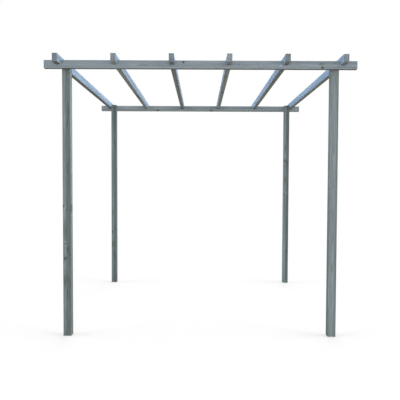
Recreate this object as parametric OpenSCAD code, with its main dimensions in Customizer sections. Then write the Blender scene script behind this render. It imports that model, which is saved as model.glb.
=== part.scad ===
// Wooden pergola: four square posts, a beam along the outer face of each pair,
// and a row of rafters notched over both beams. Millimetres, +Z up.
// The origin is on the ground, in the middle of the four posts.
// The front is at -Y. Beams run along X and rafters run along Y.

/* [Layout] */
// Outer face to outer face of the posts, left to right
span_x = 2400; // [1500:10:3600]
// Outer face to outer face of the posts, front to rear
span_y = 2400; // [1500:10:3600]
// Height of the posts, and of the beams' top edges
post_h = 2400; // [1900:10:2800]

/* [Posts] */
// Side of the square post
post_w = 70; // [60:1:120]
// Radius of the post's planed long edges
post_edge_r = 4; // [1:0.5:8]

/* [Beams] */
// Thickness of a beam, front to rear
beam_t = 44; // [30:1:70]
// Depth of a beam, top to bottom
beam_h = 69; // [50:1:150]
// Length of beam that shows beyond the outer rafter
beam_overhang = 100; // [30:5:300]
// Radius of the beam's planed long edges
beam_edge_r = 3; // [1:0.5:6]

/* [Rafters] */
// Number of rafters across the roof
rafter_count = 6; // [4:1:9]
// Thickness of a rafter, left to right
rafter_t = 44; // [30:1:70]
// Depth of a rafter, top to bottom
rafter_h = 69; // [60:1:150]
// Length of rafter that shows beyond the beam
rafter_overhang = 100; // [30:5:300]
// Radius of the rafter's planed long edges
rafter_edge_r = 3; // [1:0.5:6]
// How far each rafter is let down over the beams
notch_depth = 34.5; // [10:0.5:45]
// Play between a notch and each face of its beam
notch_play = 0.5; // [0:0.1:2]

/* [Hidden] */
$fn = 48;
// A cutter stands this far past the face that it opens
past = 1;

// Treated softwood that has weathered grey
post_color = [0.44, 0.48, 0.48];
beam_color = [0.53, 0.57, 0.60];
rafter_color = [0.56, 0.62, 0.66];

beam_length = span_x + 2 * (rafter_t + beam_overhang);
rafter_length = span_y + 2 * (beam_t + rafter_overhang);

// Middle of the left and front posts, and of the front beam and first rafter
post_x = (span_x - post_w) / 2;
post_y = (span_y - post_w) / 2;
beam_y = (span_y + beam_t) / 2;
rafter_x = (span_x + rafter_t) / 2;
rafter_step = 2 * rafter_x / (rafter_count - 1);

function rafter_name(i) = str("rafter_", i);

// Section of planed timber, with its four long edges rounded
module timber_section(width, depth, edge_r) {
    square([width - 2 * edge_r, depth], center = true);
    square([width, depth - 2 * edge_r], center = true);
    for (x = [-1, 1], y = [-1, 1])
        translate([x * (width / 2 - edge_r), y * (depth / 2 - edge_r)])
            circle(r = edge_r);
}

// A post standing on the ground; side is -1 or 1 for left or right, end for front or rear
module post(side, end) {
    color(post_color)
        translate([side * post_x, end * post_y, 0])
            linear_extrude(post_h)
                timber_section(post_w, post_w, post_edge_r);
}

// A beam against the outer faces of two posts, level with their tops
module beam(end) {
    color(beam_color)
        translate([0, end * beam_y, post_h - beam_h / 2])
            rotate([90, 0, 90])
                linear_extrude(beam_length, center = true)
                    timber_section(beam_t, beam_h, beam_edge_r);
}

// The space that a beam takes out of a rafter, open below
module beam_notch() {
    notch_w = beam_t + 2 * notch_play;
    translate([-rafter_t / 2 - past, -notch_w / 2, -past])
        cube([rafter_t + 2 * past, notch_w, notch_depth + past]);
}

// A rafter let down over both beams, with a square-cut tail past each of them
module rafter(i) {
    color(rafter_color)
        translate([-rafter_x + (i - 1) * rafter_step, 0, post_h - notch_depth])
            difference() {
                translate([0, 0, rafter_h / 2])
                    rotate([90, 0, 0])
                        linear_extrude(rafter_length, center = true)
                            timber_section(rafter_t, rafter_h, rafter_edge_r);
                for (end = [-1, 1])
                    translate([0, end * beam_y, 0])
                        beam_notch();
            }
}

post(-1, -1);  // front_left_post
post(1, -1);  // front_right_post
post(-1, 1);  // rear_left_post
post(1, 1);  // rear_right_post
beam(-1);  // front_beam
beam(1);  // rear_beam
for (i = [1 : rafter_count])
    rafter(i);
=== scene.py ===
import math
import random
import bpy
from mathutils import Matrix, Vector, noise


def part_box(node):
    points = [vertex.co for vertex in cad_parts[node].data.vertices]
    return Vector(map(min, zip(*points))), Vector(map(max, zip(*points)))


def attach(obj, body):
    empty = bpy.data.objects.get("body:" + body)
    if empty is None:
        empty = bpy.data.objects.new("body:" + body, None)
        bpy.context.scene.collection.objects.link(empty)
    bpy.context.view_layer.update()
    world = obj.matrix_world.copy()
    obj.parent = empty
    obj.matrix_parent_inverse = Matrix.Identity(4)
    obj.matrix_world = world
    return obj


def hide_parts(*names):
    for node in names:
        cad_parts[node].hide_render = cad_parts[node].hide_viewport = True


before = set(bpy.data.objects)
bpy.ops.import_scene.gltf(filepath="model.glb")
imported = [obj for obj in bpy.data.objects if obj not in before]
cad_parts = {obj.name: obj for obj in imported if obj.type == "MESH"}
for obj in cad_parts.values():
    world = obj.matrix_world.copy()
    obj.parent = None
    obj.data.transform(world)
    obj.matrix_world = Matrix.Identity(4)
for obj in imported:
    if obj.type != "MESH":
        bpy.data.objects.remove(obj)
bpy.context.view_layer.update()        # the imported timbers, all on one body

scene = bpy.context.scene
scene.view_settings.view_transform = "Standard"
mm = 0.001
body = "root"
print("frame loaded,", len(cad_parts), "timbers")


def addObject(name, data):
    made = bpy.data.objects.new(name, data)
    scene.collection.objects.link(made)
    return made


def newMesh(name, points, faces):
    mesh = bpy.data.meshes.new(name)
    mesh.from_pydata(points, [], faces)
    mesh.validate()
    return mesh


# camera, at the photo's viewing angle
cameraSetup = {
    "imageWidth": 400,  # pixels
    "focal": 483.9,  # pixels
    "sensor": 36,  # millimetres
    "place": (0.0, -5.4246, 1.3477),
    "tiltDown": 1.96,  # degrees
    "roll": 0.226,  # degrees, the picture's right side hangs lower
}


def placeCamera(setup):
    data = bpy.data.cameras.new("photoCamera")
    data.sensor_width = setup["sensor"]
    data.lens = setup["focal"] / setup["imageWidth"] * setup["sensor"]
    camera = addObject("photoCamera", data)
    tilt = Matrix.Rotation(math.radians(90 - setup["tiltDown"]), 4, "X")
    roll = Matrix.Rotation(math.radians(setup["roll"]), 4, "Z")
    camera.matrix_world = Matrix.Translation(setup["place"]) @ tilt @ roll
    scene.camera = camera


placeCamera(cameraSetup)
print("camera placed")


# node helpers: a value may be a socket to link or a plain number to set, and None leaves a socket as it is;
# a single value linked to a vector or a colour fills all its parts
falling = (1.0, 0.0)


def put(tree, kind, *values, **options):
    node = tree.nodes.new(kind)
    for key, value in options.items():
        setattr(node, key, value)
    for socket, value in zip(node.inputs, values):
        join(tree, value, socket)
    return node


def join(tree, value, socket):
    if isinstance(value, bpy.types.NodeSocket):
        tree.links.new(value, socket)
    elif value is not None:
        socket.default_value = value


def fill(tree, node, values):
    for key, value in values.items():
        join(tree, value, node.inputs[key])


def calc(tree, operation, first, second=None, third=None):
    return put(tree, "ShaderNodeMath", first, second, third, operation=operation).outputs[0]


def weighted(tree, weights, values, base=0.0):
    for key, weight in weights.items():
        base = calc(tree, "MULTIPLY_ADD", values[key], weight, base)
    return base


def swing(tree, value, amount):
    # a noise of 0 to 1, spread evenly to both sides of nought
    return calc(tree, "MULTIPLY_ADD", value, amount, -amount / 2)


def vectorCalc(tree, operation, first, second=None):
    node = put(tree, "ShaderNodeVectorMath", first, second, operation=operation)
    return node.outputs["Value" if operation in ("LENGTH", "DOT_PRODUCT") else "Vector"]


def splitVector(tree, vector):
    return put(tree, "ShaderNodeSeparateXYZ", vector).outputs


def madeVector(tree, x, y, z):
    return put(tree, "ShaderNodeCombineXYZ", x, y, z).outputs[0]


def ramp(tree, value, span, ends=(0.0, 1.0)):
    node = put(tree, "ShaderNodeMapRange", value, *span, *ends)
    node.interpolation_type = "SMOOTHSTEP"
    return node.outputs[0]


def clamp(tree, value):
    return put(tree, "ShaderNodeClamp", value, 0.0, 1.0).outputs[0]


def mixColour(tree, factor, first, second, mode="MIX"):
    node = put(tree, "ShaderNodeMix", data_type="RGBA", blend_type=mode)
    join(tree, factor, node.inputs["Factor"])
    join(tree, first, node.inputs[6])  # its colour sockets
    join(tree, second, node.inputs[7])
    return node.outputs[2]


def tint(tree, colour, by):
    return mixColour(tree, 1.0, colour, by, "MULTIPLY")


def darken(tree, colour, where, amount):
    return tint(tree, colour, calc(tree, "MULTIPLY_ADD", where, -amount, 1.0))


def grainNoise(tree, place, scale, detail=2.0, rough=0.5):
    node = put(tree, "ShaderNodeTexNoise", vectorCalc(tree, "MULTIPLY", place, scale))
    fill(tree, node, {"Scale": 1.0, "Detail": detail, "Roughness": rough})
    return node.outputs[0]


def thinLines(tree, pattern, width):
    # a line wherever the noise passes its middle value
    away = calc(tree, "ABSOLUTE", calc(tree, "SUBTRACT", pattern, 0.5))
    return ramp(tree, away, (0.0, width), falling)


def newGroup(name, inputs, outputs):
    tree = bpy.data.node_groups.new(name, "ShaderNodeTree")
    for way, sockets in (("INPUT", inputs), ("OUTPUT", outputs)):
        for kind, labels in sockets.items():
            for label in labels:
                tree.interface.new_socket(label, in_out=way, socket_type="NodeSocket" + kind)
    given = tree.nodes.new("NodeGroupInput").outputs
    return tree, given, tree.nodes.new("NodeGroupOutput")


def newMaterial(name):
    material = bpy.data.materials.new(name)
    material.use_nodes = True
    material.node_tree.nodes.clear()
    return material, material.node_tree


def addBump(tree, surface, height, strength, depth):
    bump = put(tree, "ShaderNodeBump")
    fill(tree, bump, {"Strength": strength, "Distance": depth, "Height": height})
    join(tree, bump.outputs[0], surface.inputs["Normal"])


def seenDirectly(tree):
    path = tree.nodes.new("ShaderNodeLightPath").outputs
    either = calc(tree, "MAXIMUM", path["Is Camera Ray"], path["Is Glossy Ray"])
    return calc(tree, "MAXIMUM", either, path["Is Transmission Ray"])


# light: a pale sky all round, a wide low box lamp in front, and soft lamps that favour the two sides
lightSetup = {
    "skyColour": (0.90, 0.95, 1.0),
    "skyStrength": 0.587,
    "boxPlace": (1.0, -26.0, 2.1),
    "boxSize": (16.0, 7.5),
    "boxPower": 3950,
    "boxColour": (1.0, 0.98, 0.96),
    "lamps": [  # name, degrees round from the front, degrees up, spread, strength, colour
        ("rightLamp", 84, 14, 60, 3.12, (0.97, 0.985, 1.0)),
        ("leftLamp", -84, 14, 60, 2.9, (0.74, 0.87, 1.0)),
        ("rearLamp", 175, 22, 60, 1.6, (0.92, 0.96, 1.0)),
    ],
}


def addLamp(name, kind, strength, colour, place):
    data = bpy.data.lights.new(name, kind)
    data.energy = strength
    data.color = colour
    addObject(name, data).matrix_world = place
    return data


def lightTheScene(setup):
    for name, turn, rise, spread, strength, colour in setup["lamps"]:
        around = Matrix.Rotation(math.radians(turn), 4, "Z")
        tilted = Matrix.Rotation(math.radians(90 - rise), 4, "X")
        lamp = addLamp(name, "SUN", strength, colour, around @ tilted)
        lamp.angle = math.radians(spread)
    place = Matrix.Translation(setup["boxPlace"]) @ Matrix.Rotation(math.radians(90), 4, "X")
    box = addLamp("boxLamp", "AREA", setup["boxPower"], setup["boxColour"], place)
    box.shape = "RECTANGLE"
    box.size, box.size_y = setup["boxSize"]


def paintSky(setup):
    world = bpy.data.worlds.new("paleSky")
    world.use_nodes = True
    scene.world = world
    tree = world.node_tree
    tree.nodes.clear()
    sky = put(tree, "ShaderNodeBackground", (*setup["skyColour"], 1), setup["skyStrength"])
    white = put(tree, "ShaderNodeBackground", (1, 1, 1, 1), 1.0)
    both = put(tree, "ShaderNodeMixShader", seenDirectly(tree), sky.outputs[0], white.outputs[0])
    put(tree, "ShaderNodeOutputWorld", both.outputs[0])


lightTheScene(lightSetup)
paintSky(lightSetup)
print("light set")


# floor: white to the eye with the shadow kept, dull and earthy to the light that bounces off it
floorSetup = {
    "halfWidth": 60.0,
    "below": 0.2 * mm,  # clear of the posts' feet
    "bounce": (0.335, 0.267, 0.170),
    "paint": (0.627, 0.588, 0.556),  # cancels the light's blue
    "glow": 0.29,
    "fade": (2.4, 4.5),  # further out it is plain white
}


def floorMaterial(setup):
    material, tree = newMaterial("paleFloor")
    bounce = put(tree, "ShaderNodeBsdfDiffuse", (*setup["bounce"], 1))
    pale = put(tree, "ShaderNodeBsdfDiffuse", (*setup["paint"], 1))
    glow = put(tree, "ShaderNodeEmission", (1, 1, 1, 1), setup["glow"])
    white = put(tree, "ShaderNodeEmission", (1, 1, 1, 1), 1.0)
    out = vectorCalc(tree, "LENGTH", put(tree, "ShaderNodeTexCoord").outputs["Object"])
    near = put(tree, "ShaderNodeAddShader", pale.outputs[0], glow.outputs[0])
    fade = ramp(tree, out, setup["fade"])
    seen = put(tree, "ShaderNodeMixShader", fade, near.outputs[0], white.outputs[0])
    both = put(tree, "ShaderNodeMixShader", seenDirectly(tree), bounce.outputs[0], seen.outputs[0])
    put(tree, "ShaderNodeOutputMaterial", both.outputs[0])
    return material


def makeFloor(setup):
    half = setup["halfWidth"]
    corners = [(-half, -half, 0), (half, -half, 0), (half, half, 0), (-half, half, 0)]
    floor = addObject("floor", newMesh("floor", corners, [(0, 1, 2, 3)]))
    floor.location.z = -setup["below"]
    floor.data.materials.append(floorMaterial(setup))


makeFloor(floorSetup)
print("floor laid")


# a knot is a branch that grows from the pith out through a face
# spans are distances from its middle, as shares of its radius
knotLook = {
    "atPith": 0.3,  # its size there, as a share of its size at the face
    "roughness": ((90, 160, 160), 2), "rough": 0.5,
    "behindPith": 9.0,  # added to the distance there, so that nothing shows
    "drawnOut": (0.42, 1.0, 1.0),  # the grain bends round it over a longer stretch than its own
    "core": (0.92, 1.06),
    "rimIn": (0.72, 0.98), "rimOut": (1.02, 1.30),
    "halo": (0.7, 2.4),
    "swirl": (0.5, 2.8), "swirlPush": 0.9,
}


def makeKnotGroup(look):
    tree, given, result = newGroup(
        "knot",
        {"Vector": ["Grain", "Root", "Axis"], "Float": ["Reach", "Radius"]},
        {"Float": ["Core", "Rim", "Halo", "Swirl"]},
    )
    away = vectorCalc(tree, "SUBTRACT", given["Grain"], given["Root"])
    along = vectorCalc(tree, "DOT_PRODUCT", away, given["Axis"])
    offAxis = vectorCalc(tree, "SUBTRACT", away, vectorCalc(tree, "MULTIPLY", given["Axis"], along))
    grown = ramp(tree, calc(tree, "DIVIDE", along, given["Reach"]), (0.0, 1.0), (look["atPith"], 1.0))
    size = calc(tree, "MULTIPLY", given["Radius"], grown)
    behind = calc(tree, "MULTIPLY", calc(tree, "LESS_THAN", along, 0.0), look["behindPith"])

    rough = grainNoise(tree, given["Grain"], *look["roughness"])
    uneven = calc(tree, "ADD", swing(tree, rough, look["rough"]), 1.0)
    distance = calc(tree, "MULTIPLY", vectorCalc(tree, "LENGTH", offAxis), uneven)
    ratio = calc(tree, "ADD", calc(tree, "DIVIDE", distance, size), behind)
    drawn = vectorCalc(tree, "LENGTH", vectorCalc(tree, "MULTIPLY", offAxis, look["drawnOut"]))
    drawnRatio = calc(tree, "ADD", calc(tree, "DIVIDE", drawn, size), behind)

    rim = calc(tree, "MULTIPLY", ramp(tree, ratio, look["rimIn"]), ramp(tree, ratio, look["rimOut"], falling))
    push = ramp(tree, drawnRatio, look["swirl"], (look["swirlPush"], 0.0))
    fill(tree, result, {
        "Core": ramp(tree, ratio, look["core"], falling), "Rim": rim,
        "Halo": ramp(tree, drawnRatio, look["halo"], falling), "Swirl": calc(tree, "MULTIPLY", push, size),
    })
    return tree


# a soft patch, long along the grain, that darkens or bleaches the wood: real stains, and also painted light
# and painted shade
stainAndShadeLook = {
    "edge": ((7, 150, 150), 3), "ragged": 0.8,
    "fade": (0.35, 1.0),  # as shares of its half length and half width
    "depth": 4.0 * mm,
}


def makeStainAndShadeGroup(look):
    tree, given, result = newGroup(
        "stainAndShadePatch",
        {"Vector": ["Grain", "Middle", "Spread"], "Float": ["Strength"]},
        {"Float": ["Tone"]},
    )
    away = vectorCalc(tree, "SUBTRACT", given["Grain"], given["Middle"])
    ratio = vectorCalc(tree, "LENGTH", vectorCalc(tree, "DIVIDE", away, given["Spread"]))
    edge = grainNoise(tree, given["Grain"], *look["edge"])
    ratio = calc(tree, "ADD", ratio, swing(tree, edge, look["ragged"]))
    fade = ramp(tree, ratio, look["fade"], falling)
    fill(tree, result, {"Tone": calc(tree, "MULTIPLY", fade, given["Strength"])})
    return tree


# the wood itself, cut from a log whose pith leans and wanders past or through the timber
woodLook = {
    "patterns": {  # scale along the grain and across it, detail, roughness
        "wave": ((4, 45, 45), 3),
        "mottle": ((1.4, 22, 22), 3),
        "streak": ((0.8, 60, 60), 2),
        "fibre": ((9, 430, 430), 3, 0.6),
        "crack": ((2.0, 90, 90), 4, 0.65),
        "crackGate": ((3, 11, 11), 1),
        "kerf": ((30, 30, 900), 2),
    },
    "tones": {"streak": (0.86, 1.14), "mottle": (0.92, 1.08), "fibre": (0.86, 1.12)},
    "patternSpan": (0.3, 0.7),
    "pithWander": 20 * mm, "pithWanderScale": 1.6,
    "ringWave": 4 * mm,
    "lateStart": (0.30, 0.88), "lateEnd": (0.92, 1.0),  # as shares of one ring
    "lateDark": 0.20,
    "heartEdge": (0.82, 1.12), "heartRagged": 20 * mm,
    "haloTone": 0.45,
    "bleach": 0.5,
    "deepStain": (0.60, 0.575, 0.46),
    "algae": (0.105, 0.125, 0.098), "algaeMost": 0.55,
    "dampRise": (50 * mm, 260 * mm), "dampRagged": 80 * mm,
    "corner": (1 * mm, 6 * mm), "cornerPale": 0.12,
    # the painted sky light on the side faces fades out round their corners over this span
    "side": (1.5 * mm, 4.5 * mm),
    "knotCore": (0.066, 0.075, 0.062), "coreShare": 0.85, "coreFibre": 0.8,
    "knotRim": (0.031, 0.034, 0.029), "rimShare": 0.8,
    "crackSpan": (0.52, 0.62), "crackWidth": 0.012, "crackDark": 0.6,
    "endGrain": (1.02, 1.0, 0.965), "endPale": 1.05, "endLateDark": 0.38, "endMottle": (0.82, 1.1),
    "rayTurns": 14.0, "rayRadius": 25.0, "rayWidth": 0.018, "rayDark": 0.5,
    "roughness": 0.80, "lateSmooth": 0.10, "fibreRough": 0.12,
    "sideRelief": {"fibre": 0.7, "late": 0.45, "crack": -1.1, "rim": -0.7, "core": 0.4},
    "endRelief": {"kerf": 1.0, "late": 0.4, "ray": -0.9},
    "bumpStrength": 0.55, "bumpDepth": 0.6 * mm,
    "specular": 0.08,
}


def growthRings(tree, given, along, wave, look):
    wander = put(tree, "ShaderNodeTexNoise", madeVector(tree, along, given["Seed"], 0.0))
    fill(tree, wander, {"Scale": look["pithWanderScale"], "Detail": 2.0})
    sway = vectorCalc(tree, "SUBTRACT", wander.outputs[1], (0.5, 0.5, 0.5))
    sway = vectorCalc(tree, "MULTIPLY", sway, (0, look["pithWander"], look["pithWander"]))
    pith = vectorCalc(tree, "ADD", given["Pith"], vectorCalc(tree, "MULTIPLY", given["Lean"], along))
    fromPith = vectorCalc(tree, "SUBTRACT", given["Grain"], vectorCalc(tree, "ADD", pith, sway))
    across = vectorCalc(tree, "MULTIPLY", fromPith, (0, 1, 1))
    radius = calc(tree, "ADD", vectorCalc(tree, "LENGTH", across), given["Swirl"])
    radius = calc(tree, "ADD", radius, swing(tree, wave, look["ringWave"]))
    turn = calc(tree, "FRACT", calc(tree, "DIVIDE", radius, given["Ring"]))
    late = ramp(tree, turn, look["lateStart"])
    late = calc(tree, "MULTIPLY", late, ramp(tree, turn, look["lateEnd"], falling))
    return across, radius, late


def fineCracks(tree, given, pattern, look):
    line = thinLines(tree, pattern["crack"], look["crackWidth"])
    line = calc(tree, "MULTIPLY", line, ramp(tree, pattern["crackGate"], look["crackSpan"]))
    return calc(tree, "MULTIPLY", line, given["Cracked"])


def endRays(tree, given, across, radius, look):
    part = splitVector(tree, across)
    turn = calc(tree, "MULTIPLY", calc(tree, "ARCTAN2", part["Z"], part["Y"]), look["rayTurns"])
    out = calc(tree, "MULTIPLY", radius, look["rayRadius"])
    pattern = grainNoise(tree, madeVector(tree, turn, out, given["Seed"]), (1, 1, 1), 2)
    return thinLines(tree, pattern, look["rayWidth"])


def weatheredColour(tree, given, radius, late, pattern, look):
    # heartwood took less of the treatment and went greener and darker
    edge = calc(tree, "ADD", radius, swing(tree, pattern["mottle"], look["heartRagged"]))
    heart = ramp(tree, calc(tree, "DIVIDE", edge, given["Heart"]), look["heartEdge"], falling)
    heart = calc(tree, "ADD", heart, given["Tone"])
    heart = calc(tree, "MULTIPLY_ADD", given["Halo"], look["haloTone"], heart)
    colour = mixColour(tree, clamp(tree, heart), given["Sapwood"], given["Heartwood"])
    colour = darken(tree, colour, late, look["lateDark"])
    colour = darken(tree, colour, calc(tree, "MINIMUM", heart, 0.0), look["bleach"])
    olive = tint(tree, colour, (*look["deepStain"], 1))
    colour = mixColour(tree, clamp(tree, calc(tree, "SUBTRACT", heart, 1.0)), colour, olive)
    for key, tone in look["tones"].items():
        colour = tint(tree, colour, ramp(tree, pattern[key], look["patternSpan"], tone))
    return colour


def dampFoot(tree, given, along, mottle, colour, look):
    height = calc(tree, "MULTIPLY_ADD", mottle, look["dampRagged"], along)
    wet = ramp(tree, height, look["dampRise"], (look["algaeMost"], 0.0))
    return mixColour(tree, calc(tree, "MULTIPLY", wet, given["Damp"]), colour, (*look["algae"], 1))


def cornersAndSideLight(tree, given, colour, look):
    # a corner is near two faces at once; the tint on the two sides is painted light, the sky's blue on them
    room = vectorCalc(tree, "SUBTRACT", given["Half"], vectorCalc(tree, "ABSOLUTE", given["Grain"]))
    near = splitVector(tree, room)
    nearY, nearZ = [ramp(tree, near[axis], look["corner"], falling) for axis in "YZ"]
    colour = darken(tree, colour, calc(tree, "MULTIPLY", nearY, nearZ), -look["cornerPale"])
    sideLightMask = ramp(tree, near["Y"], look["side"], falling)
    return mixColour(tree, sideLightMask, colour, tint(tree, colour, given["PaintedSideLight"]))


def knotsAndCracks(tree, given, fibre, crack, colour, look):
    rings = calc(tree, "ADD", swing(tree, fibre, look["coreFibre"]), 1.0)
    core = tint(tree, (*look["knotCore"], 1), rings)
    colour = mixColour(tree, calc(tree, "MULTIPLY", given["Core"], look["coreShare"]), colour, core)
    rim = calc(tree, "MULTIPLY", given["Rim"], look["rimShare"])
    colour = mixColour(tree, rim, colour, (*look["knotRim"], 1))
    return darken(tree, colour, crack, look["crackDark"])


def sawnColour(tree, given, late, ray, mottle, look):
    sawn = tint(tree, tint(tree, given["Sapwood"], (*look["endGrain"], 1)), given["Sawn"])
    sawn = tint(tree, sawn, calc(tree, "MULTIPLY_ADD", late, -look["endLateDark"], look["endPale"]))
    sawn = tint(tree, sawn, ramp(tree, mottle, look["patternSpan"], look["endMottle"]))
    return darken(tree, sawn, ray, look["rayDark"])


def makeWoodGroup(look):
    tree, given, result = newGroup(
        "greyedTimber",
        {
            "Vector": ["Grain", "Half", "Pith", "Lean"],
            "Color": ["Sapwood", "Heartwood", "PaintedSideLight"],
            "Float": ["End", "Ring", "Heart", "Seed", "Tone", "Damp", "Sawn", "Cracked",
                      "Core", "Rim", "Halo", "Swirl"],
        },
        {"Color": ["Colour"], "Float": ["Roughness", "Height"]},
    )
    along = splitVector(tree, given["Grain"])["X"]
    place = vectorCalc(tree, "ADD", given["Grain"], given["Seed"])
    pattern = {key: grainNoise(tree, place, *values) for key, values in look["patterns"].items()}
    fibre, mottle = pattern["fibre"], pattern["mottle"]
    across, radius, late = growthRings(tree, given, along, pattern["wave"], look)
    crack = fineCracks(tree, given, pattern, look)
    ray = endRays(tree, given, across, radius, look)

    colour = weatheredColour(tree, given, radius, late, pattern, look)
    colour = dampFoot(tree, given, along, mottle, colour, look)
    colour = cornersAndSideLight(tree, given, colour, look)
    colour = knotsAndCracks(tree, given, fibre, crack, colour, look)
    colour = mixColour(tree, given["End"], colour, sawnColour(tree, given, late, ray, mottle, look))

    roughness = calc(tree, "MULTIPLY_ADD", late, -look["lateSmooth"], look["roughness"])
    roughness = calc(tree, "ADD", roughness, swing(tree, fibre, look["fibreRough"]))
    layers = {"fibre": fibre, "late": late, "crack": crack, "rim": given["Rim"], "core": given["Core"],
              "kerf": pattern["kerf"], "ray": ray}
    side = weighted(tree, look["sideRelief"], layers)
    end = weighted(tree, look["endRelief"], layers)
    height = put(tree, "ShaderNodeMix", given["End"], None, side, end, data_type="FLOAT").outputs[0]
    fill(tree, result, {"Colour": colour, "Roughness": roughness, "Height": height})
    return tree


knotGroup = makeKnotGroup(knotLook)
stainAndShadeGroup = makeStainAndShadeGroup(stainAndShadeLook)
woodGroup = makeWoodGroup(woodLook)
print("wood mixed")


# screws: two through a beam into each post, one down through each rafter into each beam, and one
# through each outer rafter into each post; the timbers are drilled for their heads
screwSetup = {  # millimetres
    "headRadius": 4.6, "headDepth": 3.4, "bevel": 0.3,
    "shankRadius": 2.1, "shankDepth": 9.0,
    "recessRadius": 2.3, "recessDepth": 1.8, "recessTaper": 0.9, "lobe": 0.35, "lobes": 6,
    "segments": 36,
    "sunk": 0.9,  # how far the heads are drawn in
    "holeRadius": 4.9, "holeDepth": 3.6, "holeSegments": 28,
    "drillPast": 2,
    "beamSpots": [(-14, 16), (14, -16)],  # across and up from the middle of the joint
    "rafterStray": 2,
    "ringLength": 14, "ringWidth": 8, "ringStain": 0.3,
    "colour": (0.165, 0.170, 0.170), "dull": (0.095, 0.098, 0.095),
    "bloom": ((420, 420, 420), 4, 0.6), "bloomSpan": (0.35, 0.65),
    "roughness": 0.42, "bloomRough": 0.25,
    "scuff": ((2600, 2600, 2600), 2), "scuffStrength": 0.4, "scuffDepth": 0.05,
    "placeSeed": 5, "turnSeed": 8, "mostTurn": 6,  # radians
}


def facing(point, outward):
    return Matrix.Translation(point) @ Vector(outward).to_track_quat("Z", "Y").to_matrix().to_4x4()


def placeScrews(beams, rafters, setup):
    draw = random.Random(setup["placeSeed"])
    stray = setup["rafterStray"]
    outer = {rafters[0]: -1, rafters[-1]: 1}
    places = {node: [] for node in [*rafters, *[beam for beam, end, posts in beams]]}
    for beam, end, posts in beams:
        low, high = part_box(beam)
        middle = (low + high) / 2
        outside = low.y if end < 0 else high.y
        for post in posts:
            postLow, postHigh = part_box(post)
            postMiddle = (postLow + postHigh) / 2
            for right, up in setup["beamSpots"]:
                point = (postMiddle.x + right * mm, outside, middle.z + up * mm)
                places[beam].append(facing(point, (0, end, 0)))
        for rafter in rafters:
            low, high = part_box(rafter)
            point = ((low.x + high.x) / 2 + draw.uniform(-stray, stray) * mm, middle.y, high.z)
            places[rafter].append(facing(point, (0, 0, 1)))
            side = outer.get(rafter)
            if side:
                point = (low.x if side < 0 else high.x, postMiddle.y, (low.z + postHigh.z) / 2)
                places[rafter].append(facing(point, (side, 0, 0)))
    return places


rafterNames = [f"rafter_{i + 1}" for i in range(6)]
screwPlaces = placeScrews(
    [("front_beam", -1, ("front_left_post", "front_right_post")),
     ("rear_beam", 1, ("rear_left_post", "rear_right_post"))],
    rafterNames, screwSetup,
)
print("screws placed")


# how each kind of timber lies: its own x follows the grain, y and z go across it, and its four faces
# count round from the one at +y
postKind = {
    "lay": Matrix(((0, 1, 0), (0, 0, 1), (1, 0, 0))),
    "faces": {"right": 0, "rear": 1, "left": 2, "front": 3},
    "edge": 4 * mm,
    "slot": "post_wood",
}
beamKind = {
    "lay": Matrix.Identity(3),
    "faces": {"rear": 0, "top": 1, "front": 2, "bottom": 3},
    "edge": 3 * mm,
    "slot": "beam_wood",
}
rafterKind = {
    "lay": Matrix(((0, -1, 0), (1, 0, 0), (0, 0, 1))),
    "faces": {"left": 0, "top": 1, "right": 2, "bottom": 3},
    "edge": 3 * mm,
    "slot": "rafter_wood",
}


def timberSize(node, lay):
    low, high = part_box(node)
    back = lay.transposed()
    a, b = back @ low, back @ high
    least = Vector(map(min, a, b))
    most = Vector(map(max, a, b))
    middle = (least + most) / 2
    middle.x = 0
    return least.x, most.x, (most - least) / 2, middle


def onFace(face, across, half, sunk=0.0):
    if face in (0, 2):
        return (1 - face) * (half.y - sunk), across
    return across, (2 - face) * (half.z - sunk)


# planed timber: columns run the length of the piece, and a drying check pulls one of them in
shapeSetup = {
    "columnGap": 6.5 * mm,
    "stationGap": 30 * mm, "checkGap": 15 * mm, "leastGap": 2.5 * mm,
    "knotSpots": (7, 0.4), "dentSpots": (4, 0.5),  # stations to each side, and how far apart
    "arcSteps": 4,
    "easedEnd": 0.8 * mm,
    "hollow": 0.25 * mm,  # how far a face dries hollow
    "ripple": 0.20 * mm, "rippleScale": (3.1, 25), "rippleApart": 0.28,
    "lipApart": 3.5 * mm,  # the columns beside a check, where it is closed
    "checkBlunt": 0.6, "checkUneven": 0.2, "checkScale": (11, 90),
    "wander": 2.2 * mm, "wanderScale": (2.6, 300), "wanderReach": 20 * mm,
    "knotDip": 0.5 * mm, "dipLong": 1.6, "dipAt": 1.3, "dipWidth": 0.35,
    "knotLean": 10 * mm, "knotInward": 0.6,
    "dents": 9, "dentFromEnd": 50 * mm,
    "dentDepth": (0.55 * mm, 1.43 * mm), "dentLength": (6.6 * mm, 17.6 * mm),
    "notchPlay": 0.5 * mm, "notchPast": 5 * mm,
    "endSlope": 0.7,  # a face that turns further than this towards an end is sawn
    "sharpAngle": 32,
}


def flatHalf(face, half, edge):
    return (half.z if face in (0, 2) else half.y) - edge


def faceColumns(face, timber):
    flat = flatHalf(face, timber["half"], timber["edge"])
    steps = max(2, round(2 * flat / shapeSetup["columnGap"]))
    found = [(-flat + 2 * flat * k / steps, None, 0) for k in range(steps + 1)]
    ends = (found[0], found[-1])
    room = 2 * shapeSetup["lipApart"]
    for check in timber["checks"]:
        if check["face"] == face:
            found = [c for c in found if c in ends or abs(c[0] - check["across"]) > room or c[1]]
            found += [(check["across"], check, side) for side in (-1, 0, 1)]
    found.sort(key=lambda column: (column[0], column[2]))
    if face in (1, 2):
        found.reverse()
    return [(facePoint, face, *column) for column in found]


def sectionColumns(timber):
    columns = []
    for face in range(4):
        columns += faceColumns(face, timber)
        for step in range(1, shapeSetup["arcSteps"]):
            turn = (face + step / shapeSetup["arcSteps"]) * math.pi / 2
            columns.append((arcPoint, face, turn))
    return columns


def noiseAt(x, across, scale, third):
    return noise.noise(Vector((x * scale[0], across * scale[1], third)))


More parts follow.
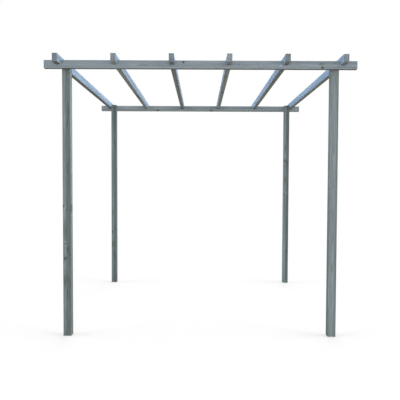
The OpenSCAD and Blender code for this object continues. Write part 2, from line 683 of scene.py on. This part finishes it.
def checkOpening(check, x):
    share = (x - check["start"]) / (check["end"] - check["start"])
    if not 0 < share < 1:
        return 0.0
    uneven = shapeSetup["checkUneven"]
    steady = 1 - uneven + uneven * noiseAt(x, check["across"], shapeSetup["checkScale"], 4)
    return math.sin(math.pi * share) ** shapeSetup["checkBlunt"] * steady


def checkWander(check, x):
    return shapeSetup["wander"] * noiseAt(x, check["across"], shapeSetup["wanderScale"], 9)


def rippleDepth(x, across, face, seed):
    apart = across + face * shapeSetup["rippleApart"]
    return shapeSetup["ripple"] * (0.5 + 0.5 * noiseAt(x, apart, shapeSetup["rippleScale"], seed))


def arcPoint(face, turn, x, half, timber):
    edge = timber["edge"]
    reach = edge - rippleDepth(x, turn, face, timber["seed"])
    for dent in timber["dents"]:
        if dent["corner"] == face:
            reach -= dent["depth"] * math.exp(-((x - dent["x"]) / dent["length"]) ** 2)
    signY = 1 if face in (0, 3) else -1
    signZ = 1 if face in (0, 1) else -1
    y = signY * (half.y - edge) + reach * math.cos(turn)
    z = signZ * (half.z - edge) + reach * math.sin(turn)
    return y, z


def facePoint(face, across, check, side, x, half, timber):
    flat = flatHalf(face, half, timber["edge"])
    sunk = rippleDepth(x, across, face, timber["seed"])
    for other in timber["checks"]:
        if other["face"] == face:
            away = abs(across - other["across"])
            across += checkWander(other, x) * max(0.0, 1 - away / shapeSetup["wanderReach"])
    sunk += shapeSetup["hollow"] * (1 - (across / flat) ** 2)
    if check:
        opening = checkOpening(check, x)
        across += side * (shapeSetup["lipApart"] * (1 - opening) + check["width"] / 2 * opening)
        if side == 0:
            sunk += check["depth"] * opening
    for knot in timber["knots"]:
        if knot["face"] == face:
            away = math.hypot((x - knot["x"]) / shapeSetup["dipLong"], across - knot["across"])
            fromRim = away / knot["radius"] - shapeSetup["dipAt"]
            sunk += shapeSetup["knotDip"] * math.exp(-(fromRim / shapeSetup["dipWidth"]) ** 2)
    return onFace(face, across, half, sunk)


def spotsRound(middle, size, count, step):
    return [middle + size * step * k for k in range(-count, count + 1)]


def stationsAlong(timber):
    # closer together along checks, knots and dents
    low, high = timber["low"], timber["high"]
    ease, least = shapeSetup["easedEnd"], shapeSetup["leastGap"]
    count = round((high - low) / shapeSetup["stationGap"])
    wanted = [low + (high - low) * k / count for k in range(1, count)]
    for check in timber["checks"]:
        length = check["end"] - check["start"]
        steps = round(length / shapeSetup["checkGap"])
        wanted += [check["start"] + length * k / steps for k in range(steps + 1)]
    for knot in timber["knots"]:
        wanted += spotsRound(knot["x"], knot["radius"], *shapeSetup["knotSpots"])
    for dent in timber["dents"]:
        wanted += spotsRound(dent["x"], dent["length"], *shapeSetup["dentSpots"])
    stations = [low, low + ease]
    for x in sorted(wanted):
        if stations[-1] + least < x < high - ease - least:
            stations.append(x)
    return stations + [high - ease, high]


def closedSolids(solids, base=0):
    # each solid is a row of rings from one end to the other, and both ends are closed
    points, faces = [], []
    for rings in solids:
        count = len(rings[0])
        first = base + len(points)
        last = first + (len(rings) - 1) * count
        for low in range(first, last, count):
            for k in range(count):
                n = (k + 1) % count
                faces.append((low + k, low + n, low + count + n, low + count + k))
        faces += [tuple(reversed(range(first, first + count))), tuple(range(last, last + count))]
        points += [point for ring in rings for point in ring]
    return points, faces


def timberMesh(name, timber):
    columns = sectionColumns(timber)
    half = timber["half"]
    rings = []
    for x in stationsAlong(timber):
        inset = shapeSetup["easedEnd"] if x in (timber["low"], timber["high"]) else 0.0
        shrunk = Vector((0, half.y - inset, half.z - inset))
        rings.append([(x, *point(*column, x, shrunk, timber)) for point, *column in columns])
    return newMesh(name, *closedSolids([rings]))


def timberMaterial(name, wood, timber):
    material, tree = newMaterial(name)
    grain = put(tree, "ShaderNodeAttribute", attribute_name="grain").outputs["Vector"]
    end = put(tree, "ShaderNodeAttribute", attribute_name="endGrain").outputs["Fac"]
    totals = {}

    def gather(key, socket, operation):
        totals[key] = calc(tree, operation, totals[key], socket) if key in totals else socket

    for knot in timber["knots"]:
        node = put(tree, "ShaderNodeGroup", node_tree=knotGroup)
        fill(tree, node, {"Grain": grain, "Root": knot["root"], "Axis": knot["axis"],
                          "Reach": knot["reach"], "Radius": knot["radius"]})
        for key in ("Core", "Rim", "Halo"):
            gather(key, node.outputs[key], "MAXIMUM")
        gather("Swirl", node.outputs["Swirl"], "ADD")
    for stainAndShadePatch in timber["stains"]:
        node = put(tree, "ShaderNodeGroup", node_tree=stainAndShadeGroup)
        fill(tree, node, {"Grain": grain, **stainAndShadePatch})
        gather("Tone", node.outputs["Tone"], "ADD")

    log = put(tree, "ShaderNodeGroup", node_tree=woodGroup)
    fill(tree, log, {
        "Grain": grain, "End": end, "Half": timber["half"],
        "Pith": Vector((0, *wood["pith"])) * mm, "Lean": Vector((0, *wood["lean"])) * mm,
        "Ring": wood["ring"] * mm, "Heart": wood["heart"] * mm, "Seed": wood["seed"],
        "Sapwood": (*wood["sapwood"], 1), "Heartwood": (*wood["heartwood"], 1), "PaintedSideLight": (*wood["sides"], 1),
        "Damp": wood["damp"], "Sawn": wood["sawn"], "Cracked": wood["cracked"],
        **totals,
    })
    cut = log.outputs
    surface = put(tree, "ShaderNodeBsdfPrincipled")
    fill(tree, surface, {"Base Color": cut["Colour"], "Roughness": cut["Roughness"],
                         "Specular IOR Level": woodLook["specular"]})
    addBump(tree, surface, cut["Height"], woodLook["bumpStrength"], woodLook["bumpDepth"])
    put(tree, "ShaderNodeOutputMaterial", surface.outputs[0])
    return material


def faceRows(table, faces):
    return [(faces[face], *row) for face, rows in table.items() for row in rows]


def readKnots(rows, half):
    knots = []
    for face, along, across, radius in rows:
        x, u = along * mm, across * mm
        inner = onFace(face, shapeSetup["knotInward"] * u, half, half.y)
        root = Vector((x - shapeSetup["knotLean"], *inner))
        out = Vector((x, *onFace(face, u, half))) - root
        knots.append({"face": face, "x": x, "across": u, "radius": radius * mm, "root": root,
                      "axis": out.normalized(), "reach": out.length})
    return knots


def readStainsAndShade(rows, half):
    stains = []
    for face, along, across, halfLength, halfWidth, strength in rows:
        middle = Vector((along * mm, *onFace(face, across * mm, half)))
        length, wide, deep = halfLength * mm, halfWidth * mm, stainAndShadeLook["depth"]
        spread = Vector((length, deep, wide) if face in (0, 2) else (length, wide, deep))
        stains.append({"Middle": middle, "Spread": spread, "Strength": strength})
    return stains


def ringStains(screws, setup):
    spread = Vector((setup["ringLength"], setup["ringWidth"], setup["ringWidth"])) * mm
    strength = setup["ringStain"]
    return [{"Middle": place.translation, "Spread": spread, "Strength": strength} for place in screws]


def readChecks(rows):
    keys = ("across", "start", "end", "width", "depth")
    return [{"face": face, **{key: size * mm for key, size in zip(keys, sizes)}} for face, *sizes in rows]


def scatterDents(low, high, seed):
    draw = random.Random(seed)
    fromEnd = shapeSetup["dentFromEnd"]
    dents = []
    for _ in range(shapeSetup["dents"]):
        dents.append({
            "x": draw.uniform(low + fromEnd, high - fromEnd), "corner": draw.randrange(4),
            "depth": draw.uniform(*shapeSetup["dentDepth"]),
            "length": draw.uniform(*shapeSetup["dentLength"]),
        })
    return dents


def readTimber(node, kind, wood):
    low, high, half, middle = timberSize(node, kind["lay"])
    laid = Matrix.Translation(kind["lay"] @ middle) @ kind["lay"].to_4x4()
    screws = [laid.inverted() @ place for place in screwPlaces.get(node, [])]
    knots, stains, checks = [faceRows(wood[key], kind["faces"]) for key in ("knots", "stains", "checks")]
    return {
        "low": low, "high": high, "half": half, "edge": kind["edge"], "seed": wood["seed"],
        "laid": laid, "screws": screws,
        "knots": readKnots(knots, half),
        "stains": readStainsAndShade(stains, half) + ringStains(screws, screwSetup),
        "checks": readChecks(checks),
        "dents": scatterDents(low, high, wood["seed"]),
    }


def notchBoxes(beams, timber):
    # the space that each beam takes out of a rafter, open below
    half, play, past = timber["half"], shapeSetup["notchPlay"], shapeSetup["notchPast"]
    sides = (-half.y - past, half.y + past)
    box = [(0, 1, 3, 2), (4, 6, 7, 5), (0, 4, 5, 1), (2, 3, 7, 6), (0, 2, 6, 4), (1, 5, 7, 3)]
    points, faces = [], []
    for beam in beams:
        beamLow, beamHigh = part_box(beam)
        ends = (beamLow.y - play, beamHigh.y + play)
        heights = (-half.z - past, beamHigh.z - timber["laid"].translation.z)
        faces += [tuple(len(points) + k for k in face) for face in box]
        points += [Vector((x, y, z)) for x in ends for y in sides for z in heights]
    return points, faces


def ringPoints(place, radius, height, count, wave=0.0, lobes=0):
    points = []
    for k in range(count):
        turn = 2 * math.pi * k / count
        reach = radius + wave * math.cos(lobes * turn)
        points.append(place @ Vector((reach * math.cos(turn), reach * math.sin(turn), height)))
    return points


def screwHoles(places, base, setup):
    radius, count = setup["holeRadius"] * mm, setup["holeSegments"]
    heights = (-setup["holeDepth"] * mm, setup["drillPast"] * mm)
    holes = [[ringPoints(place, radius, height, count) for height in heights] for place in places]
    return closedSolids(holes, base)


def cutAway(piece, points, faces):
    cutter = addObject("cutter", newMesh("cutter", points, faces))
    cut = piece.modifiers.new("cut", "BOOLEAN")
    cut.object = cutter
    cut.operation = "DIFFERENCE"
    cut.solver = "EXACT"
    done = bpy.data.meshes.new_from_object(piece.evaluated_get(bpy.context.evaluated_depsgraph_get()))
    piece.modifiers.clear()
    piece.data = done
    bpy.data.objects.remove(cutter)


def markGrain(mesh):
    # the wood is looked up by place in the timber's own axes, and sawn faces are marked
    grain = mesh.attributes.new("grain", "FLOAT_VECTOR", "POINT")
    for vertex in mesh.vertices:
        grain.data[vertex.index].vector = vertex.co
    end = mesh.attributes.new("endGrain", "FLOAT", "FACE")
    for face in mesh.polygons:
        end.data[face.index].value = 1.0 if abs(face.normal.x) > shapeSetup["endSlope"] else 0.0


def smoothMesh(mesh):
    mesh.shade_smooth()
    mesh.set_sharp_from_angle(angle=math.radians(shapeSetup["sharpAngle"]))


def timberName(node):
    first, *rest = node.split("_")
    return first + "".join(word.title() for word in rest) + "Timber"


# what a timber has unless its own values say otherwise
plainWood = {"sides": (1, 1, 1), "damp": 0.0, "sawn": 0.74, "cracked": 1.0}


def makeTimber(node, kind, wood, beams=()):
    name = timberName(node)
    wood = {**plainWood, **wood}
    timber = readTimber(node, kind, wood)
    piece = addObject(name, timberMesh(name, timber))
    points, faces = notchBoxes(beams, timber)
    more, around = screwHoles(timber["screws"], len(points), screwSetup)
    if points + more:
        cutAway(piece, points + more, faces + around)
    mesh = piece.data
    markGrain(mesh)
    mesh.materials.append(timberMaterial(name + "Wood", wood, timber))
    mesh.transform(timber["laid"])
    smoothMesh(mesh)
    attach(piece, body)
    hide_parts(node)
    print("made", name, len(mesh.polygons), "faces")


# posts, in millimetres: along is the height, and across is from the middle of the face
# knots: along, across, radius
# stains, painted light and painted shade: along, across, half length, half width, strength (below nought it
# bleaches)
# checks: across, start, end, width, depth
frontLeftPost = {
    "seed": 3.0, "ring": 4.6, "heart": 27.0, "pith": (15, -46), "lean": (1, 0), "damp": 0.5,
    "sapwood": (0.175, 0.210, 0.239), "heartwood": (0.123, 0.152, 0.149),
    "knots": {
        "front": [
            (1145, -29, 8), (1108, -3, 5), (846, -5, 3), (816, -8, 5), (762, 8, 3), (718, 26, 5),
            (685, -15, 9),
        ],
        "left": [(1620, 6, 9)],
        "rear": [(940, -10, 8)],
    },
    "stains": {
        "front": [
            (2110, -11, 330, 11, -0.45), (1985, 18, 85, 6, 0.7), (1900, 1, 900, 12, -0.12),
            (1870, 8, 65, 8, 0.8), (1860, -11, 140, 11, -0.65), (1600, 2, 300, 8, 0.3),
            (1430, 8, 130, 11, 0.2), (1138, -15, 36, 12, -0.65), (1085, -14, 60, 12, -0.35),
            (935, -18, 102, 22, 0.9), (831, -8, 12, 12, -0.9), (799, -6, 14, 12, -1.0),
            (765, 9, 50, 12, 0.55), (742, -12, 42, 6, -0.9), (688, 0, 22, 17, 0.7), (622, -20, 50, 13, -0.5),
            (490, 7, 90, 7, 1.2), (485, -8, 85, 5, 1.1), (480, -19, 95, 8, 1.5), (465, 25, 80, 6, 0.8),
            (455, -1, 60, 4, -0.4), (445, 17, 50, 4, -0.5), (380, 3, 80, 6, 0.9), (360, 20, 65, 5, 0.6),
            (250, 27, 290, 8, 0.6), (130, -17, 200, 8, -0.3), (70, -10, 110, 8, -0.6),
        ],
        # on the inner face the two long patches are painted light, paler up high where the sky lights it
        "right": [(2000, 0, 1300, 60, -0.8), (2000, 0, 700, 60, -0.3), (1127, 0, 52, 60, 1.4)],
    },
    "checks": {
        "front": [(14, 1790, 2060, 1.1, 4)], "left": [(-6, 380, 1350, 1.8, 7)],
        "rear": [(11, 1400, 2420, 1.6, 8)],
    },
}
frontRightPost = {
    "seed": 11.0, "ring": 3.9, "heart": 14.0, "pith": (-6, 62), "lean": (2, -4), "damp": 0.4, "cracked": 0.4,
    "sapwood": (0.198, 0.234, 0.254), "heartwood": (0.123, 0.147, 0.148),
    "knots": {"rear": [(1710, 8, 9)], "right": [(820, -9, 8)]},
    "stains": {
        "front": [
            # the first patch, at the top just under the beam, is painted light that lifts the beam's shade
            # off the post
            (2330, 6, 100, 10, -0.6), (1900, 27, 600, 12, 0.62), (1600, -13, 300, 7, 0.25),
            (1370, 2, 230, 14, 0.35), (1320, 30, 180, 8, 0.35), (1200, 3, 4000, 12, -0.25),
            (1200, -26, 4000, 12, 0.2), (1200, 29, 4000, 10, 0.33), (1020, -25, 320, 13, -0.2),
            (110, 5, 230, 16, 0.5),
        ],
        # on the inner face: painted shade, the whole face darker and darker still just under the beam
        "left": [(2280, 0, 260, 60, 0.5), (1330, 0, 250, 60, -0.3), (0, 0, 2300, 60, 1.1)],
    },
    "checks": {"right": [(4, 520, 1600, 1.6, 7)], "rear": [(-12, 90, 700, 1.3, 5)]},
}
rearLeftPost = {
    "seed": 19.0, "ring": 4.2, "heart": 34.0, "pith": (24, -52), "lean": (0, 2), "damp": 0.4,
    "sapwood": (0.175, 0.210, 0.232), "heartwood": (0.127, 0.156, 0.155),
    "knots": {"front": [(686, -22, 9)], "left": [(1300, 10, 9)]},
    "stains": {
        "front": [
            (2200, -5, 200, 22, 0.25), (1905, 12, 80, 15, 0.5), (1800, -10, 170, 16, -0.45),
            (1133, -2, 22, 18, -0.7), (1060, -20, 45, 12, -0.3), (950, -17, 60, 16, 1.2),
            (735, 8, 50, 12, 0.6), (625, -18, 50, 12, -0.3), (520, -12, 60, 22, 1.15), (370, 8, 110, 12, 0.8),
        ],
        # on the inner face: painted light up high, where the sky glints on it; lower down it turns darker
        # towards the foot
        "right": [(2200, 0, 300, 60, -0.35), (1950, 0, 650, 60, -0.75), (330, 0, 260, 60, 0.45)],
    },
    "checks": {"left": [(8, 700, 1700, 1.7, 7)], "right": [(-9, 200, 900, 1.3, 5)]},
}
rearRightPost = {
    "seed": 27.0, "ring": 4.4, "heart": 36.0, "pith": (26, -52), "lean": (0, 2), "damp": 0.5,
    "sapwood": (0.192, 0.235, 0.257), "heartwood": (0.128, 0.156, 0.152),
    "knots": {"front": [(1655, -17, 10), (1632, 15, 9), (1197, -32, 7)], "right": [(560, 4, 8)]},
    "stains": {"front": [
        (1970, 8, 90, 14, 0.5), (1836, -14, 62, 18, 0.75), (1720, -20, 45, 12, -0.4),
        (1580, -12, 30, 16, 0.5), (1400, -13, 62, 20, 0.8), (1290, -18, 45, 14, -0.3),
        (1225, -2, 35, 18, -0.7), (1120, -27, 90, 9, 0.4), (510, -14, 110, 10, -0.3),
        (480, 18, 480, 14, 0.35), (435, 16, 45, 8, 0.6), (250, 10, 200, 10, 0.4), (120, 12, 100, 10, 0.5),
        (110, -14, 170, 16, 0.3),
    ]},
    "checks": {"right": [(-7, 900, 2100, 1.8, 8)], "rear": [(6, 300, 1100, 1.4, 6)]},
}
makeTimber("front_left_post", postKind, frontLeftPost)
makeTimber("front_right_post", postKind, frontRightPost)
makeTimber("rear_left_post", postKind, rearLeftPost)
makeTimber("rear_right_post", postKind, rearRightPost)


# beams: the same rows, with along counted from the middle, left to right
frontBeam = {
    "seed": 35.0, "ring": 3.6, "heart": 12.0, "pith": (8, -70), "lean": (3, 4),
    "sapwood": (0.226, 0.270, 0.312), "heartwood": (0.144, 0.178, 0.173),
    "knots": {"front": [(1045, -23, 8), (-148, 20, 7)], "top": [(-600, 3, 7)]},
    "stains": {
        "front": [
            (-1310, 0, 75, 60, -0.18), (-900, 0, 1100, 60, -0.3), (0, 33, 3500, 8, 0.45),
            (0, -19, 3500, 12, 0.16), (690, -6, 15, 7, -1.6), (820, -11, 160, 10, 0.35),
            (1040, 8, 38, 15, 1.0), (1310, 0, 75, 60, -0.1),
        ],
        "top": [(0, -33, 3500, 8, 0.45)],
    },
    "checks": {
        "front": [(-8, -560, -200, 0.8, 3)], "top": [(3, 300, 1300, 1.4, 6)],
        "rear": [(9, -1300, -350, 1.3, 5)],
    },
}
rearBeam = {
    "seed": 43.0, "ring": 4.0, "heart": 14.0, "pith": (-10, 66), "lean": (-2, 3),
    # its sapwood is paler than the front beam's: painted light, making up for the lamp's weaker reach at the
    # rear
    "sapwood": (0.270, 0.319, 0.350), "heartwood": (0.139, 0.165, 0.161),
    "knots": {"front": [(-580, -25, 9), (148, -26, 9)], "rear": [(420, 5, 9)]},
    "stains": {
        "front": [
            (-1100, 0, 700, 60, -0.25), (-450, 22, 1300, 14, 0.4), (0, -9, 3500, 11, -0.25),
            (1000, 0, 420, 60, 0.2),
        ],
        "top": [(-450, -33, 1300, 8, 0.4)],
    },
    "checks": {"rear": [(6, -900, 300, 1.4, 6)], "top": [(-4, -200, 900, 1.3, 5)]},
}
makeTimber("front_beam", beamKind, frontBeam)
makeTimber("rear_beam", beamKind, rearBeam)


# rafters, from the left: alike but for their grain; along is counted from the middle, front to rear
rafterSetup = {
    "sapwood": (0.270, 0.330, 0.395), "heartwood": (0.150, 0.172, 0.165),
    "sides": (0.895, 0.995, 1.145),  # painted light: the sky's blue on the sides, put into their colour
    "tone": [1.16, 1.06, 1.0, 0.89, 1.0, 1.05],  # one for each rafter, here and in the lists below
    "sawn": [0.57, 0.71, 0.69, 0.99, 0.60, 0.73],  # how pale its ends are
    "cracked": 0.4,
    "pith": [(14, -58), (-20, 60), (9, 66), (-12, -62), (22, 54), (-8, -66)],
    "ring": [3.8, 4.3, 3.6, 4.1, 3.9, 4.4],
    "heart": 13.0,
    "lean": 4,
    "firstSeed": 50.0, "seedStep": 7, "drawSeed": 100,
    "patches": {  # along, across, half length, half width, and one strength for each rafter
        "bottom": [
            (0, 0, 4000, 60, [0.60, -0.75, -0.21, -1.08, -0.15, -0.1]),
            (750, 0, 1000, 60, [0.0, 0.5, 0.14, 0.05, 0.0, 0.2]),
            (-1330, 0, 110, 60, [-0.05, -0.4, 0.05, 0.0, 0.05, -0.1]),  # the front tail
            (1170, 0, 90, 60, [0.6] * 6),  # painted shade, in by the rear beam where the rafter sits on it
            (300, 0, 85, 16, [0, 1.3, 0, 0, 0, 0]),  # round the two low knots
            (30, 0, 85, 16, [0, 0, 0, 0.7, 0, 0]),
        ],
        "top": [(0, 0, 4000, 60, [0.85] * 6)],
        "left": [(0, 0, 4000, 60, [0.4, 0, 0, 0, 0, 0])],  # the two outer sides
        "right": [(0, 0, 4000, 60, [0, 0, 0, 0, 0, 0.4])],
    },
    "sidePatches": [  # the same on both sides
        (-1300, 0, 90, 60, [0.3] * 6),  # the front tail: painted shade that takes back some of the sides' painted sky light
        # painted light: the near and far halves of each side, lighter or darker one by one with how the light
        # falls along it
        (-450, 0, 900, 60, [-0.05, -0.08, 0.0, 0.12, 0.09, 0.04]),
        (700, 0, 900, 60, [-0.09, 0.04, -0.05, 0.06, -0.08, -0.16]),
        (0, 24, 4000, 20, [-0.2] * 6),  # bleached along the top
    ],
    "knots": 4, "knotStart": -900, "knotStep": 530, "knotStray": 150, "knotRadius": (5, 9),
    "knotAcross": {"left": 22, "top": 10, "right": 22, "bottom": 10},
    "lowKnots": {1: 300, 3: 30}, "lowRadius": 9,  # two that show from below
    "sideCheck": {"across": (5, 16), "start": (-1000, 100), "length": (500, 900), "cut": (1.3, 5)},
    "topCheck": {"across": (-6, 6), "start": (-1150, -300), "end": (100, 1000), "cut": (1.4, 6)},
}


def rafterKnots(i, setup, draw):
    faces = list(rafterKind["faces"])
    stray = setup["knotStray"]
    knots = {face: [] for face in faces}
    for k in range(setup["knots"]):
        along = setup["knotStart"] + k * setup["knotStep"] + draw.uniform(-stray, stray)
        face = faces[(i + k) % 4]
        wide = setup["knotAcross"][face]
        knots[face].append((along, draw.uniform(-wide, wide), draw.uniform(*setup["knotRadius"])))
    if i in setup["lowKnots"]:
        knots["bottom"].append((setup["lowKnots"][i], 0, setup["lowRadius"]))
    return knots


def rafterChecks(i, setup, draw):
    side, top = setup["sideCheck"], setup["topCheck"]
    start = draw.uniform(*side["start"])
    across = draw.uniform(*side["across"])
    end = start + draw.uniform(*side["length"])
    onTop = [draw.uniform(*top[key]) for key in ("across", "start", "end")]
    return {("left", "right")[i % 2]: [(across, start, end, *side["cut"])], "top": [(*onTop, *top["cut"])]}


def rafterStainsAndShade(i, setup):
    stains = {}
    for face, patches in setup["patches"].items():
        rows = patches + setup["sidePatches"] if face in ("left", "right") else patches
        stains[face] = [(*row, strengths[i]) for *row, strengths in rows if strengths[i]]
    return stains


def rafterWood(i, setup):
    draw = random.Random(setup["drawSeed"] + i)
    lean = setup["lean"]
    return {
        "seed": setup["firstSeed"] + setup["seedStep"] * i,
        "ring": setup["ring"][i], "heart": setup["heart"], "pith": setup["pith"][i],
        "sapwood": [part * setup["tone"][i] for part in setup["sapwood"]],
        "heartwood": setup["heartwood"], "sides": setup["sides"],
        "sawn": setup["sawn"][i], "cracked": setup["cracked"],
        "knots": rafterKnots(i, setup, draw),
        "checks": rafterChecks(i, setup, draw),
        "lean": (draw.uniform(-lean, lean), draw.uniform(-lean, lean)),
        "stains": rafterStainsAndShade(i, setup),
    }


for i, node in enumerate(rafterNames):
    wood = rafterWood(i, rafterSetup)
    makeTimber(node, rafterKind, wood, beams=("front_beam", "rear_beam"))


# screw heads, countersunk with a six-lobed recess
def screwMesh(name, places, setup):
    draw = random.Random(setup["turnSeed"])
    recess, lobe, lobes = setup["recessRadius"], setup["lobe"], setup["lobes"]
    head, shank, count = setup["headRadius"], setup["shankRadius"], setup["segments"]
    shape = [  # radius, height and how far the lobes stand out
        (shank, -setup["shankDepth"], 0), (shank, -setup["headDepth"], 0),
        (head, -setup["bevel"], 0), (head - setup["bevel"], 0, 0),
        (recess, 0, lobe), (recess * setup["recessTaper"], -setup["recessDepth"], lobe),
    ]
    screws = []
    for place in places:
        turned = place @ Matrix.Rotation(draw.uniform(0, setup["mostTurn"]), 4, "Z")
        screws.append([ringPoints(turned, radius * mm, (height - setup["sunk"]) * mm, count, wave * mm, lobes)
                       for radius, height, wave in shape])
    mesh = newMesh(name, *closedSolids(screws))
    smoothMesh(mesh)
    return mesh


def screwMaterial(setup):
    material, tree = newMaterial("dullZinc")
    place = put(tree, "ShaderNodeTexCoord").outputs["Object"]
    bloom = ramp(tree, grainNoise(tree, place, *setup["bloom"]), setup["bloomSpan"])
    scuff = grainNoise(tree, place, *setup["scuff"])
    colour = mixColour(tree, bloom, (*setup["colour"], 1), (*setup["dull"], 1))
    roughness = calc(tree, "MULTIPLY_ADD", bloom, setup["bloomRough"], setup["roughness"])
    surface = put(tree, "ShaderNodeBsdfPrincipled")
    fill(tree, surface, {"Metallic": 1.0, "Base Color": colour, "Roughness": roughness})
    addBump(tree, surface, scuff, setup["scuffStrength"], setup["scuffDepth"] * mm)
    put(tree, "ShaderNodeOutputMaterial", surface.outputs[0])
    return material


def makeScrews(name, places, material):
    mesh = screwMesh(name, places, screwSetup)
    mesh.materials.append(material)
    piece = addObject(name, mesh)
    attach(piece, body)
    print("made", name, len(places), "screws")


dullZinc = screwMaterial(screwSetup)
makeScrews("beamScrews", screwPlaces["front_beam"] + screwPlaces["rear_beam"], dullZinc)
makeScrews("rafterScrews", [place for rafter in rafterNames for place in screwPlaces[rafter]], dullZinc)
